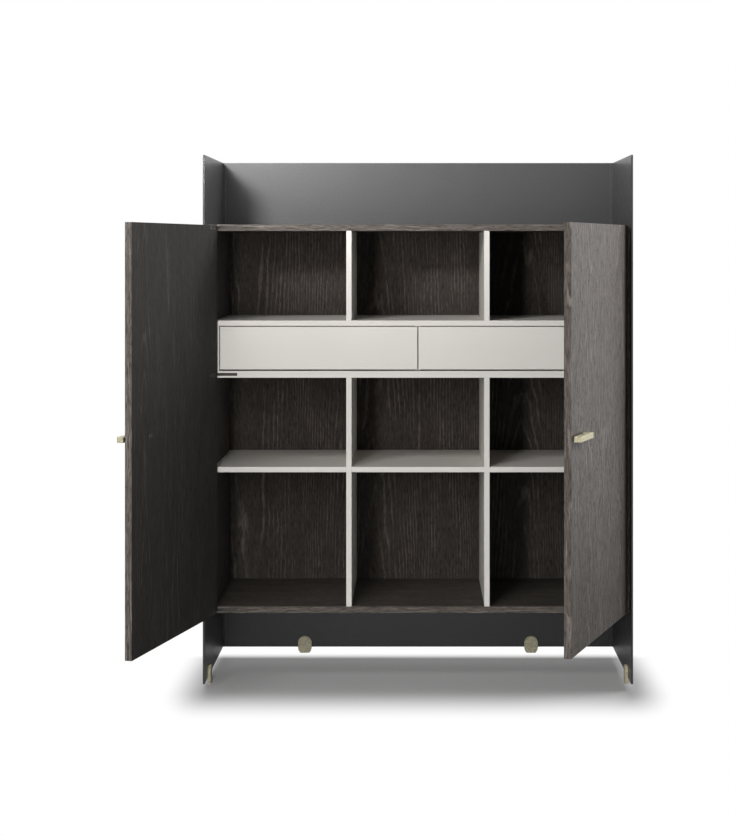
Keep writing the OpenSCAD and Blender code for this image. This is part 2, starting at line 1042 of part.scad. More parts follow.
back_sheet();
left_side_sheet();
right_side_sheet();
left_foot();
right_foot();
back_left_foot();
back_right_foot();
foot_screws();
top_panel();
bottom_panel();
left_panel();
right_panel();
back_panel();
shell_screws();
carcass_dowels();
interior_dowels();
left_upper_divider();
right_upper_divider();
left_lower_divider();
right_lower_divider();
left_shelf();
middle_shelf();
right_shelf();
drawer_bay_top();
drawer_bay_floor();
drawer_bay_left_side();
drawer_bay_right_side();
drawer_bay_partition();
runner_channels();
runner_screws();
left_drawer_front();
left_drawer_outer_side();
left_drawer_inner_side();
left_drawer_back();
left_drawer_bottom();
left_drawer_rails();
left_drawer_dowels();
right_drawer_front();
right_drawer_outer_side();
right_drawer_inner_side();
right_drawer_back();
right_drawer_bottom();
right_drawer_rails();
right_drawer_dowels();
left_door_panel();
left_door_handle();
left_door_handle_screws();
left_door_hinge_cups();
left_door_hinge_pins();
left_door_cup_screws();
right_door_panel();
right_door_handle();
right_door_handle_screws();
right_door_hinge_cups();
right_door_hinge_pins();
right_door_cup_screws();
left_hinge_plates();
right_hinge_plates();
hinge_plate_screws();
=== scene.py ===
"""A dark oak buffet cabinet held in a sheet metal shell: finishes, metalwork and stage.

Lengths are in metres, as in the frame. +Z is up and the front faces -Y.
"""

import json

import bpy
import numpy as np
from bpy.props import FloatProperty, FloatVectorProperty, PointerProperty
from bpy.types import Operator, Panel, PropertyGroup
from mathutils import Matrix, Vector


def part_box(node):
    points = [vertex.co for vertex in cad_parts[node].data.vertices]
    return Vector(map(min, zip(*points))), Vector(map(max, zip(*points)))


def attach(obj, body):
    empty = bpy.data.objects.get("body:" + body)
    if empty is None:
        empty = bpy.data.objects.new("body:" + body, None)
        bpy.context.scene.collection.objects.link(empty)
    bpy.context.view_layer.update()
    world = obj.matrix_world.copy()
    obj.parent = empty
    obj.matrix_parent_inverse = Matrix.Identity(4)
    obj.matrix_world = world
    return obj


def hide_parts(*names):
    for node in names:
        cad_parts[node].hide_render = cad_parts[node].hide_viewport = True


bl_info = {
    "name": "Buffet cabinet",
    "version": (1, 0, 0),
    "blender": (4, 5, 0),
    "location": "3D View > Sidebar > Buffet cabinet",
    "description": "Finishes, metalwork and a studio stage for the oak buffet cabinet",
    "category": "Add Mesh",
}

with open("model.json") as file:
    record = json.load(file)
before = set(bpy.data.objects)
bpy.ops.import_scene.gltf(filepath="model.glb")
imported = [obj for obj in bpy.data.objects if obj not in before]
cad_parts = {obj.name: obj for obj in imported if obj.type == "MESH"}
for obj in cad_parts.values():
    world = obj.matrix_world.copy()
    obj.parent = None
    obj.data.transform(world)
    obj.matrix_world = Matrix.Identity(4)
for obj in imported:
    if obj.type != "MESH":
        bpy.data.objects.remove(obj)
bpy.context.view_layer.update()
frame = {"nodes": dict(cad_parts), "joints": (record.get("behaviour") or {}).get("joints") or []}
NODES = frame["nodes"]
JOINTS = {joint["name"]: joint for joint in frame["joints"]}

# The CAD nodes, grouped by their finish
SHEETS = ("back_sheet", "left_side_sheet", "right_side_sheet")
INTERIOR = tuple(
    name
    for name in NODES
    if name.endswith(("_divider", "_shelf")) or name.startswith("drawer_bay")
)
DRAWERS = tuple(
    name
    for name in NODES
    if "_drawer_" in name and not name.endswith(("_rails", "_dowels"))
)
DOWELS = tuple(name for name in NODES if name.endswith("_dowels"))
ZINC = tuple(
    name
    for name in NODES
    if name.endswith(("_rails", "_pins")) or name.startswith("runner_")
)
BLACK_METAL = tuple(
    name
    for name in NODES
    if name.endswith(("hinge_plates", "hinge_cups", "cup_screws", "handle_screws"))
    or name in ("hinge_plate_screws", "shell_screws")
)
FEET = tuple(name for name in NODES if name.endswith("_foot"))

# Turns of a board: grain upright at the back or at a side, or lying flat from side to side
QUARTER = np.pi / 2
UPRIGHT_AT_BACK = (0, 0, 0)
UPRIGHT_AT_SIDE = (0, 0, QUARTER)
LYING = (QUARTER, 0, QUARTER)
# Each panel with an outer stain and inner faces in painted shade: the direction into the carcass,
# its turn and its first veneer leaf
PANELS = {
    "top_panel": ((0, 0, -1), LYING, 11.0),
    "bottom_panel": ((0, 0, 1), LYING, 18.0),
    "left_panel": ((1, 0, 0), UPRIGHT_AT_SIDE, 31.0),
    "right_panel": ((-1, 0, 0), UPRIGHT_AT_SIDE, 38.0),
}
BACK_LEAF = 53.0
DOOR_LEAVES = {"left": 71.0, "right": 89.0}
# The inner faces, darkened by painted shade, start just behind a panel's front edge, as a share
# of its depth, and just under a door's inner face, as a distance from its hinge line
PANEL_INNER_FACE_START = 0.03
DOOR_INNER_FACE_START = 0.0135

# Points along a foot's outline, a handle's corner and the quarter round of a rim
FOOT_POINTS = 96
CORNER_POINTS = 7
RIM_POINTS = 6
# Keeps a divisor off nought
TINY = 1e-6

# Each lamp's place, its aim, and its width and height. Some have a spread in degrees, which keeps
# their light in a beam, and some don't show in gloss
LAMPS = {
    # A grid keeps this lamp to the tray, where the left side sheet shades the corner from it
    "tray": dict(place=(-1.3, -3.0, 2.25), aim=(-0.15, 0.228, 2.28), size=(0.5, 0.5), spread=44),
    "low": dict(place=(-0.2, -3.2, 0.35), aim=(0, 0.2, 0.05), size=(1.2, 0.3), spread=30),
    "high": dict(place=(-1.4, -2.8, 3.2), aim=(-0.3, -0.3, 1.9), size=(0.8, 0.8), spread=80),
    "strip": dict(place=(-0.6, -2.7, 1.25), aim=(-0.2, 0, 1.15), size=(0.22, 1.3), in_gloss=False),
    "left": dict(place=(-2.7, -3.0, 1.9), aim=(0, 0, 0.9), size=(1.8, 2.0)),
    "right": dict(place=(2.7, 0.5, 2.7), aim=(0.5, -0.4, 1.9), size=(1.6, 1.6), spread=70),
    # The sheets mirror the white behind the cabinet, not this lamp
    "back": dict(place=(-0.2, 3.0, 1.2), aim=(0, 0.3, 0.1), size=(3.0, 1.2), in_gloss=False),
}
FLOOR_HALF = 12.0
# The camera that fits the cabinet's edges: level, with its frame shifted
CAMERA_PLACE = (0.0, -5.086, 1.227)
CAMERA_TURN = (QUARTER, 0, 0)
FRAME_SHIFT = (-0.0639, -0.2004)
SENSOR_WIDTH = 36.0
SIGHT_END = 60.0

# The sockets of a Map Range node: two levels of the value, and what each becomes
LOW, HIGH, AT_LOW, AT_HIGH = 1, 2, 3, 4
# Where the floor's shadow fades: at the sides, in front and behind, and from the middle
# backwards, where it only gets a little lighter
SIDE_FADE = {LOW: 0.58, HIGH: 0.71}
FRONT_FADE = {LOW: -0.22, HIGH: -0.55}
BACK_FADE = {LOW: 0.12, HIGH: 0.22}
MIDDLE_FADE = {LOW: -0.15, HIGH: 0.12, AT_HIGH: 0.22}
# Distances from the middle between which the floor turns white in gloss and glass
FAR_FADE = {LOW: 1.6, HIGH: 4.6}


def linear(code):
    """An sRGB hex value such as #8c8880 as linear red, green and blue."""
    srgb = np.array([int(code[i : i + 2], 16) for i in (1, 3, 5)]) / 255
    return tuple(np.where(srgb <= 0.04045, srgb / 12.92, ((srgb + 0.055) / 1.055) ** 2.4))


def add(tree, kind, sockets=(), **settings):
    """Adds a shader node with its settings, and fills or links its sockets by name or number.

    A node given as a socket's value stands for its first output in use.
    """
    node = tree.nodes.new("ShaderNode" + kind)
    for name, value in settings.items():
        setattr(node, name, value)
    for name, value in dict(sockets).items():
        if isinstance(value, bpy.types.Node):
            value = next(output for output in value.outputs if output.enabled)
        if isinstance(value, bpy.types.NodeSocket):
            tree.links.new(value, node.inputs[name])
        else:
            node.inputs[name].default_value = value
    return node


def bare_material(name):
    """A new material and its tree, still empty."""
    material = bpy.data.materials.new(name)
    material.use_nodes = True
    material.node_tree.nodes.clear()
    return material, material.node_tree


def finish(material, *names):
    """Gives the named CAD nodes one material in every slot."""
    for name in names:
        mesh = NODES[name].data
        mesh.materials.clear()
        mesh.materials.append(material)
        mesh.polygons.foreach_set("material_index", np.zeros(len(mesh.polygons), np.int32))


class OakLook(PropertyGroup):
    """Stained oak veneer, brushed so that the soft early wood lies below the hard rings."""

    ground: FloatVectorProperty(
        name="Ground colour",
        description="Colour of the brushed early wood",
        subtype="COLOR",
        default=linear("#58514b"),
    )
    ring_tone: FloatVectorProperty(
        name="Ring colour",
        description="Colour of the hard late wood's lines",
        subtype="COLOR",
        default=linear("#7c746f"),
    )
    pore: FloatVectorProperty(
        name="Pore colour",
        description="Colour of the stain in the open pores",
        subtype="COLOR",
        default=linear("#252321"),
    )
    # The inner tone is painted shade: it darkens the faces inside the carcass, where less light
    # falls
    inner: FloatProperty(
        name="Inner tone",
        description="Brightness of the darker, duller stain inside, against the outside",
        default=0.46,
        subtype="FACTOR",
    )
    # The doors' inner tone is painted shade: it darkens the doors' inner faces, where less light
    # falls
    door_inner: FloatProperty(
        name="Doors' inner tone",
        description="Brightness of the stain on the doors' inner faces, against the outside",
        default=0.17,
        subtype="FACTOR",
    )
    ring: FloatProperty(
        name="Ring spacing",
        description="Distance between growth rings",
        default=0.0072,
        unit="LENGTH",
    )
    leaf: FloatProperty(
        name="Leaf width",
        description="Width of one leaf of veneer",
        default=0.19,
        unit="LENGTH",
    )
    fibre_width: FloatProperty(
        name="Fibre width",
        description="Width of a streak of fibres, drawn coarser than the real ones to show",
        default=0.003,
        unit="LENGTH",
    )
    pore_width: FloatProperty(
        name="Pore width",
        description="Width of a group of pores, drawn coarser than the real 0.3 mm to show",
        default=0.003,
        unit="LENGTH",
    )
    pore_length: FloatProperty(
        name="Pore length",
        description="Length of a pore along the grain",
        default=0.02,
        unit="LENGTH",
    )


class LacquerLook(PropertyGroup):
    """Sprayed matt lacquer on board."""

    colour: FloatVectorProperty(
        name="Colour",
        description="Colour of the lacquer",
        subtype="COLOR",
        default=linear("#dad6d0"),
    )
    peel: FloatProperty(
        name="Peel",
        description="Size of the sprayed film's ripples",
        default=0.0035,
        unit="LENGTH",
    )
    haze: FloatProperty(
        name="Haze",
        description="Size of the faint clouds in the colour",
        default=0.2,
        unit="LENGTH",
    )


class SteelLook(PropertyGroup):
    """Sheet steel sprayed with a satin anthracite lacquer."""

    colour: FloatVectorProperty(
        name="Colour",
        description="Colour of the lacquer",
        subtype="COLOR",
        default=linear("#343435"),
    )
    cloud: FloatProperty(
        name="Cloud size",
        description="Size of the faint clouds in the gloss",
        default=0.022,
        unit="LENGTH",
    )
    fleck: FloatProperty(
        name="Fleck size",
        description="Size of the metallic flecks, drawn coarser than the real ones to show",
        default=0.004,
        unit="LENGTH",
    )


class ChampagneLook(PropertyGroup):
    """Brass plated in a pale champagne tone and brushed."""

    colour: FloatVectorProperty(
        name="Colour",
        description="Colour of the plating",
        subtype="COLOR",
        default=linear("#c2bca0"),
    )
    stroke: FloatProperty(
        name="Stroke width",
        description="Width of a brushing stroke, drawn coarser than the real ones to show",
        default=0.0014,
        unit="LENGTH",
    )
    ease: FloatProperty(
        name="Eased edge",
        description="Radius of the rims of handles and feet",
        default=0.0006,
        unit="LENGTH",
    )


class FootLook(PropertyGroup):
    """A plate foot: two equal arcs joined by straight sides, cut flat where it stands."""

    lower: FloatProperty(
        name="Lower arc",
        description="Height of the lower arc's centre",
        default=0.016,
        unit="LENGTH",
    )
    cover: FloatProperty(
        name="Cover",
        description="Thickness of the skin over the screws",
        default=0.0002,
        unit="LENGTH",
    )


class HandleLook(PropertyGroup):
    """A bar handle with a foot at its far end, measured on the door from its hinge line."""

    start: FloatProperty(
        name="Start",
        description="Distance of the foot's near end",
        default=0.446,
        unit="LENGTH",
    )
    foot: FloatProperty(
        name="Foot",
        description="Length of the foot along the door",
        default=0.025,
        unit="LENGTH",
    )
    length: FloatProperty(
        name="Length",
        description="Length of the bar",
        default=0.125,
        unit="LENGTH",
    )
    face: FloatProperty(
        name="Door face",
        description="Distance from the hinge line to the door's outer face",
        default=0.005,
        unit="LENGTH",
    )
    back: FloatProperty(
        name="Bar's back",
        description="Distance of the bar's back face",
        default=0.011,
        unit="LENGTH",
    )
    front: FloatProperty(
        name="Bar's front",
        description="Distance of the bar's front face",
        default=0.0283,
        unit="LENGTH",
    )
    corner: FloatProperty(
        name="Corner",
        description="Radius of the corners seen from above",
        default=0.001,
        unit="LENGTH",
    )


class StageLook(PropertyGroup):
    """Pale floor, soft lamps and the camera."""

    fill: FloatProperty(
        name="Fill",
        description="Strength of the even light all round",
        default=0.08,
    )
    tray: FloatProperty(
        name="Tray lamp",
        description="Power of the lamp on the tray",
        default=18.5,
        unit="POWER",
    )
    low: FloatProperty(
        name="Low lamp",
        description="Power of the lamp on the feet",
        default=0.42,
        unit="POWER",
    )
    high: FloatProperty(
        name="High lamp",
        description="Power of the lamp high in front",
        default=8.5,
        unit="POWER",
    )
    strip: FloatProperty(
        name="Strip lamp",
        description="Power of the tall narrow lamp in front",
        default=37.0,
        unit="POWER",
    )
    left: FloatProperty(
        name="Left lamp",
        description="Power of the lamp front left",
        default=9.0,
        unit="POWER",
    )
    right: FloatProperty(
        name="Right lamp",
        description="Power of the lamp on the right",
        default=23.0,
        unit="POWER",
    )
    back: FloatProperty(
        name="Back lamp",
        description="Power of the lamp behind",
        default=90.0,
        unit="POWER",
    )
    floor: FloatVectorProperty(
        name="Floor",
        description="Colour of the floor",
        subtype="COLOR",
        default=linear("#dcdcdc"),
    )
    lens: FloatProperty(
        name="Lens",
        description="Focal length of the camera in millimetres",
        default=74.93,
    )


def brushed_oak(name, look, turn, centre, start, inner, inwards=(0.0, 1.0, 0.0), skin=-1.0):
    """Brushed oak veneer, stained dark: matt, with fine pale lines, some arches and open pores.

    turn and centre take a board's own directions into the frame's: x across the grain, y through
    the board, z along the grain. Each leaf of veneer is a slice beside a log whose heart lies
    behind the board and drifts along it, so the rings, at a constant distance from the heart, draw
    straight lines away from the heart and arches before it. The rings stand out in some places and
    fade in others. Streaks of fibre and pores are noises drawn out along the grain. start is the
    board's first leaf. The faces that lie further inwards than skin, which all do unless it is
    given, are brushed less and duller, and darker by inner, which is painted shade.
    """
    material, tree = bare_material(name)
    place = add(tree, "TexCoord").outputs["Object"]
    board = add(
        tree,
        "Mapping",
        {"Vector": place, "Location": centre, "Rotation": turn},
        vector_type="TEXTURE",
    )
    split = add(tree, "SeparateXYZ", {0: board})
    # Counting the thickness in keeps the grain running along the board's edges too
    across = add(tree, "Math", {0: split.outputs["X"], 1: split.outputs["Y"]}, operation="ADD")
    along = split.outputs["Z"]

    leaf = add(tree, "Math", {0: across, 1: look.leaf}, operation="DIVIDE")
    number = add(tree, "Math", {0: leaf}, operation="FLOOR")
    drawn = add(tree, "Math", {0: number, 1: start}, operation="ADD")
    chance = add(tree, "TexWhiteNoise", {"W": drawn}, noise_dimensions="1D")
    chances = add(tree, "SeparateColor", {0: chance.outputs["Color"]})
    within = add(tree, "Math", {0: leaf, 1: number}, operation="SUBTRACT")
    middle = add(tree, "MapRange", {0: chances.outputs["Red"], AT_LOW: -0.6, AT_HIGH: 1.6})
    shifted = add(tree, "Math", {0: within, 1: middle}, operation="SUBTRACT")
    aside = add(tree, "Math", {0: shifted, 1: look.leaf}, operation="MULTIPLY")

    # Noises drawn out along the grain. Each has the place that it is read at, its repeats in a
    # metre across the grain, through the board or from leaf to leaf, and along the grain, its
    # detail and its roughness
    flat = add(tree, "CombineXYZ", {0: across, 1: drawn, 2: along})
    fibres = (1 / look.fibre_width, 1 / look.fibre_width, 0.1 / look.fibre_width)
    pores = (1 / look.pore_width, 1 / look.pore_width, 1 / look.pore_length)
    patterns = (
        # The grain wanders in waves of 83 mm by 400 mm
        (flat, (12.0, 1.0, 2.5), 2.0, 0.5),
        # It shivers in waves of 12 mm by 62 mm
        (flat, (80.0, 1.0, 16.0), 2.0, 0.6),
        # The rings stand out and fade in patches of 56 mm by 250 mm
        (flat, (18.0, 1.0, 4.0), 2.0, 0.6),
        # Streaks of fibre are ten times as long as they are wide
        (board, fibres, 3.0, 0.65),
        # Flecks of 9 mm by 45 mm take the stain a little more or less
        (board, (110.0, 110.0, 22.0), 2.0, 0.6),
        # Groups of pores
        (board, pores, 2.0, 0.7),
    )
    noises = []
    for source, repeats, detail, roughness in patterns:
        scaled = add(tree, "Mapping", {"Vector": source, "Scale": repeats})
        sockets = {"Vector": scaled, "Scale": 1.0, "Detail": detail, "Roughness": roughness}
        noises.append(add(tree, "TexNoise", sockets))
    wander, shiver, patch, fibre, fleck, speckle = noises

    # Depth of the heart: it drifts along the board at a rate of its own in each leaf
    rate = add(tree, "MapRange", {0: chances.outputs["Green"], AT_LOW: -0.07, AT_HIGH: 0.07})
    deep = add(tree, "MapRange", {0: chances.outputs["Blue"], AT_LOW: 0.06, AT_HIGH: 0.16})
    depth = add(tree, "Math", {0: along, 1: rate, 2: deep}, operation="MULTIPLY_ADD")
    heart = add(tree, "CombineXYZ", {0: aside, 1: depth})
    distance = add(tree, "VectorMath", {0: heart}, operation="LENGTH")
    # Rings bend by up to 24 mm with the waves and fray by up to 5 mm with the shiver
    bent = add(tree, "Math", {0: wander, 1: 0.024, 2: distance}, operation="MULTIPLY_ADD")
    frayed = add(tree, "Math", {0: shiver, 1: 0.005, 2: bent}, operation="MULTIPLY_ADD")
    turns = add(tree, "Math", {0: frayed, 1: 2 * np.pi / look.ring}, operation="MULTIPLY")
    swell = add(tree, "Math", {0: turns}, operation="SINE")
    line = add(
        tree,
        "MapRange",
        {0: swell, LOW: 0.35, HIGH: 0.95},
        interpolation_type="SMOOTHSTEP",
    )
    plain = add(
        tree,
        "MapRange",
        {0: patch, LOW: 0.4, HIGH: 0.6, AT_LOW: 0.1, AT_HIGH: 1.0},
        interpolation_type="SMOOTHSTEP",
    )
    ring = add(tree, "Math", {0: line, 1: plain}, operation="MULTIPLY")
    open_pore = add(
        tree,
        "MapRange",
        {0: speckle, LOW: 0.52, HIGH: 0.7},
        interpolation_type="SMOOTHSTEP",
    )

    # Faces further inwards than skin get painted shade: their colour is darkened by inner. They
    # are also rougher, and their relief flatter.
    depth_in = add(tree, "VectorMath", {0: place, 1: inwards}, operation="DOT_PRODUCT")
    inside = add(tree, "Math", {0: depth_in, 1: skin}, operation="GREATER_THAN")
    stain = add(tree, "MapRange", {0: inside, AT_LOW: 1.0, AT_HIGH: inner})
    # The stain takes unevenly over a hand's width, and from fleck to fleck and streak to streak
    tone = add(tree, "MapRange", {0: wander, LOW: 0.3, HIGH: 0.7, AT_LOW: 0.88, AT_HIGH: 1.1})
    flecked = add(tree, "MapRange", {0: fleck, LOW: 0.4, HIGH: 0.6, AT_LOW: 0.9, AT_HIGH: 1.1})
    streak = add(tree, "MapRange", {0: fibre, LOW: 0.32, HIGH: 0.68, AT_LOW: 0.62, AT_HIGH: 1.38})
    clouded = add(tree, "Math", {0: tone, 1: flecked}, operation="MULTIPLY")
    streaked = add(tree, "Math", {0: clouded, 1: streak}, operation="MULTIPLY")
    shade = add(tree, "Math", {0: streaked, 1: stain}, operation="MULTIPLY")
    wood = add(
        tree,
        "Mix",
        {"Factor": ring, "A": (*look.ground, 1), "B": (*look.ring_tone, 1)},
        data_type="RGBA",
    )
    dark = add(tree, "Math", {0: open_pore, 1: 0.75}, operation="MULTIPLY")
    pored = add(
        tree,
        "Mix",
        {"Factor": dark, "A": wood, "B": (*look.pore, 1)},
        data_type="RGBA",
    )
    toned = add(tree, "VectorMath", {0: pored, "Scale": shade}, operation="SCALE")

    satin = add(tree, "MapRange", {0: fleck, LOW: 0.3, HIGH: 0.7, AT_LOW: 0.42, AT_HIGH: 0.32})
    pitted = add(tree, "Math", {0: open_pore, 1: 0.3, 2: satin}, operation="MULTIPLY_ADD")
    rough = add(tree, "Mix", {"Factor": inside, "A": pitted, "B": 0.9})
    # Relief in millimetres, drawn stronger than the real one so that it shows: rings, flecks and
    # fibres stand up and pores lie deep
    waved = add(tree, "Math", {0: fleck, 1: 3.0, 2: ring}, operation="MULTIPLY_ADD")
    raised = add(tree, "Math", {0: fibre, 1: 1.5, 2: waved}, operation="MULTIPLY_ADD")
    sunk = add(tree, "Math", {0: open_pore, 1: -1.0, 2: raised}, operation="MULTIPLY_ADD")
    flatter = add(tree, "MapRange", {0: inside, AT_LOW: 1.0, AT_HIGH: 0.2})
    height = add(tree, "Math", {0: sunk, 1: flatter}, operation="MULTIPLY")
    relief = add(tree, "Bump", {"Height": height, "Distance": 0.001, "Strength": 1.0})
    surface = add(
        tree,
        "BsdfPrincipled",
        {"Base Color": toned, "Roughness": rough, "Normal": relief, "IOR": 1.4},
    )
    add(tree, "OutputMaterial", {"Surface": surface})
    return material


def inner_face_plane(name, inward):
    """The plane inside a panel that parts its outer stain from its inner faces' painted shade, as
    a direction and a level along it.

    It runs slanting from just behind the front edge of the inner face to the back edge of the
    outer face, so the front edge and the outer face lie before it and keep the outer stain,
    without the painted shade.
    """
    low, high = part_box(name)
    inward = Vector(inward)
    thickness = abs(inward.dot(high - low))
    slant = Vector((0, 1 / (high.y - low.y), 0)) + inward / thickness
    corner = (low + high) / 2 + inward * thickness / 2
    corner.y = low.y
    return slant, slant.dot(corner) + PANEL_INNER_FACE_START


def matt_lacquer(name, look):
    """Sprayed matt lacquer, pigmented warm light grey: even colour, soft sheen, faint ripples."""
    material, tree = bare_material(name)
    place = add(tree, "TexCoord").outputs["Object"]
    ripple = add(
        tree,
        "TexNoise",
        {"Vector": place, "Scale": 1 / look.peel, "Detail": 2.0, "Roughness": 0.5},
    )
    haze = add(tree, "TexNoise", {"Vector": place, "Scale": 1 / look.haze, "Detail": 1.0})
    tone = add(tree, "MapRange", {0: haze, LOW: 0.3, HIGH: 0.7, AT_LOW: 0.985, AT_HIGH: 1.01})
    coat = add(tree, "VectorMath", {0: look.colour, "Scale": tone}, operation="SCALE")
    gloss = add(tree, "MapRange", {0: ripple, LOW: 0.3, HIGH: 0.7, AT_LOW: 0.42, AT_HIGH: 0.5})
    skin = add(tree, "Bump", {"Height": ripple, "Distance": 0.00004, "Strength": 1.0})
    surface = add(
        tree,
        "BsdfPrincipled",
        {"Base Color": coat, "Roughness": gloss, "Normal": skin, "IOR": 1.47},
    )
    add(tree, "OutputMaterial", {"Surface": surface})
    return material


def lacquered_steel(name, look):
    """Sheet steel in satin anthracite lacquer: near black, a broad soft gloss and faint flecks."""
    material, tree = bare_material(name)
    place = add(tree, "TexCoord").outputs["Object"]
    clouds = add(
        tree,
        "TexNoise",
        {"Vector": place, "Scale": 1 / look.cloud, "Detail": 4.0, "Roughness": 0.6},
    )
    fleck = add(
        tree,
        "TexNoise",
        {"Vector": place, "Scale": 1 / look.fleck, "Detail": 2.0, "Roughness": 0.7},
    )
    tone = add(tree, "MapRange", {0: fleck, LOW: 0.35, HIGH: 0.65, AT_LOW: 0.8, AT_HIGH: 1.25})
    coat = add(tree, "VectorMath", {0: look.colour, "Scale": tone}, operation="SCALE")
    gloss = add(tree, "MapRange", {0: clouds, LOW: 0.3, HIGH: 0.7, AT_LOW: 0.32, AT_HIGH: 0.4})
    skin = add(tree, "Bump", {"Height": clouds, "Distance": 0.00001, "Strength": 1.0})
    surface = add(
        tree,
        "BsdfPrincipled",
        {"Base Color": coat, "Roughness": gloss, "Normal": skin, "IOR": 1.5},
    )
    add(tree, "OutputMaterial", {"Surface": surface})
    return material


def champagne_brass(name, look, rough, metallic):
    """Brass plated pale champagne and brushed: warm metal with soft streaked reflections.

    The strokes run level, ten times as long as wide, with a mottle of 4 mm over them. Blasted
    plating scatters more than it mirrors, so it is set less metallic than brushed plating.
    """
    material, tree = bare_material(name)
    place = add(tree, "TexCoord").outputs["Object"]
    strokes = (0.1 / look.stroke, 0.1 / look.stroke, 1 / look.stroke)
    scaled = add(tree, "Mapping", {"Vector": place, "Scale": strokes})
    streak = add(tree, "TexNoise", {"Vector": scaled, "Scale": 1.0, "Detail": 2.0})
    grain = add(tree, "TexNoise", {"Vector": place, "Scale": 260.0, "Detail": 2.0})
    mottle = add(tree, "Math", {0: streak, 1: grain}, operation="ADD")
    gloss = add(
        tree,
        "MapRange",
        {0: mottle, LOW: 0.7, HIGH: 1.3, AT_LOW: rough - 0.1, AT_HIGH: rough + 0.1},
    )
    tone = add(tree, "MapRange", {0: mottle, LOW: 0.75, HIGH: 1.25, AT_LOW: 0.72, AT_HIGH: 1.28})
    plate = add(tree, "VectorMath", {0: look.colour, "Scale": tone}, operation="SCALE")
    skin = add(tree, "Bump", {"Height": mottle, "Distance": 0.00004, "Strength": 1.0})
    surface = add(
        tree,
        "BsdfPrincipled",
        {"Base Color": plate, "Roughness": gloss, "Normal": skin, "Metallic": metallic},
    )
    add(tree, "OutputMaterial", {"Surface": surface})
    return material


def small_part(name, colour, rough, metallic):
    """Hinges, runners, screws and dowels: one colour with a faint grainy gloss.

    The grains are 1 mm wide, drawn coarser than the real ones so that they show.
    """
    material, tree = bare_material(name)
    place = add(tree, "TexCoord").outputs["Object"]
    grain = add(tree, "TexNoise", {"Vector": place, "Scale": 900.0, "Detail": 2.0})
    gloss = add(
        tree,
        "MapRange",
        {0: grain, LOW: 0.3, HIGH: 0.7, AT_LOW: rough - 0.06, AT_HIGH: rough + 0.06},
    )
    skin = add(tree, "Bump", {"Height": grain, "Distance": 0.00002, "Strength": 1.0})
    sockets = {"Base Color": (*linear(colour), 1), "Roughness": gloss, "Normal": skin}
    surface = add(tree, "BsdfPrincipled", {**sockets, "Metallic": metallic})
    add(tree, "OutputMaterial", {"Surface": surface})
    return material


def foot_outline(inset, radius, lower, upper):
    """Rings of a foot's outline, each lying inset from its edge, seen from the face.

    In polar form about the point halfway between the two arcs' centres, which are 2 h apart. Along
    the ray at the angle t a straight side lies at r / |cos t|, an arc at
    h |sin t| + sqrt(r² - h² cos² t), and the flat cut at its depth / -sin t: the nearest counts.
    """
    turn = np.linspace(0, 2 * np.pi, FOOT_POINTS, endpoint=False)
    across, rise = np.cos(turn), np.sin(turn)
    middle, half = (lower + upper) / 2, (upper - lower) / 2
    r = radius - inset
    side = r / np.maximum(np.abs(across), TINY)
    arc = half * np.abs(rise) + np.sqrt(r**2 - (half * across) ** 2)
    reach = np.where(side * np.abs(rise) < half, side, arc)
    cut = np.where(rise < 0, (middle - inset) / np.maximum(-rise, TINY), np.inf)
    reach = np.minimum(reach, cut)
    return np.stack([reach * across, middle + reach * rise], axis=-1)


def handle_outline(inset, corners, radius):
    """Rings of a square-cornered outline, each lying inset from its edge, with rounded corners.

    At a corner between two edges with outward normals m and n the point at the angle a is
    c + (s radius - inset) (m cos a + n sin a), with the arc's centre
    c = corner - s radius (m + n), and s = 1 where the outline turns outwards and -1 where it turns
    inwards.
    """
    ahead = np.roll(corners, -1, axis=0) - corners
    ahead /= np.linalg.norm(ahead, axis=1, keepdims=True)
    after = np.stack([ahead[:, 1], -ahead[:, 0]], axis=1)
    before = np.roll(after, 1, axis=0)
    sign = np.sign(before[:, 0] * after[:, 1] - before[:, 1] * after[:, 0])[:, None]
    centre = corners - sign * radius * (before + after)
    turn = np.linspace(0, np.pi / 2, CORNER_POINTS)[:, None]
    outwards = before[:, None] * np.cos(turn) + after[:, None] * np.sin(turn)
    reach = (sign * radius)[:, None] - inset[:, :, None, None]
    return (centre[:, None] + reach * outwards).reshape(len(inset), -1, 2)


def eased_plate(name, outline, thickness, ease, origin, axes, material):
    """A flat piece with rounded rims, built of rings of its outline stacked through it.

    outline gives the rings for a column of insets. A rim is a quarter round: at the angle a the
    ring lies ease (1 - sin a) inside the outline and ease (1 - cos a) from the face. axes are the
    outline's two directions and the direction of the stack.
    """
    turn = np.linspace(0, np.pi / 2, RIM_POINTS)
    inset, rise = ease * (1 - np.sin(turn)), ease * (1 - np.cos(turn))
    rings = outline(np.concatenate([inset, inset[::-1]])[:, None])
    level = np.concatenate([rise, thickness - rise[::-1]])
    level = np.broadcast_to(level[:, None, None], (*rings.shape[:2], 1))
    rings = np.concatenate([rings, level], axis=2)
    # Mirrored axes would turn the faces inwards
    if np.linalg.det(axes) < 0:
        rings = rings[:, ::-1]
    points = np.array(origin) + rings @ np.array(axes)
    grid = np.arange(points.shape[0] * points.shape[1]).reshape(points.shape[:2])
    ahead = np.roll(grid, -1, axis=1)
    walls = np.stack([grid[:-1], ahead[:-1], ahead[1:], grid[1:]], axis=-1).reshape(-1, 4)
    ends = [grid[0, ::-1].tolist(), grid[-1].tolist()]
    mesh = bpy.data.meshes.new(name)
    mesh.from_pydata(points.reshape(-1, 3), [], walls.tolist() + ends)
    mesh.materials.append(material)
    piece = bpy.data.objects.new(name, mesh)
    bpy.context.collection.objects.link(piece)
    return piece


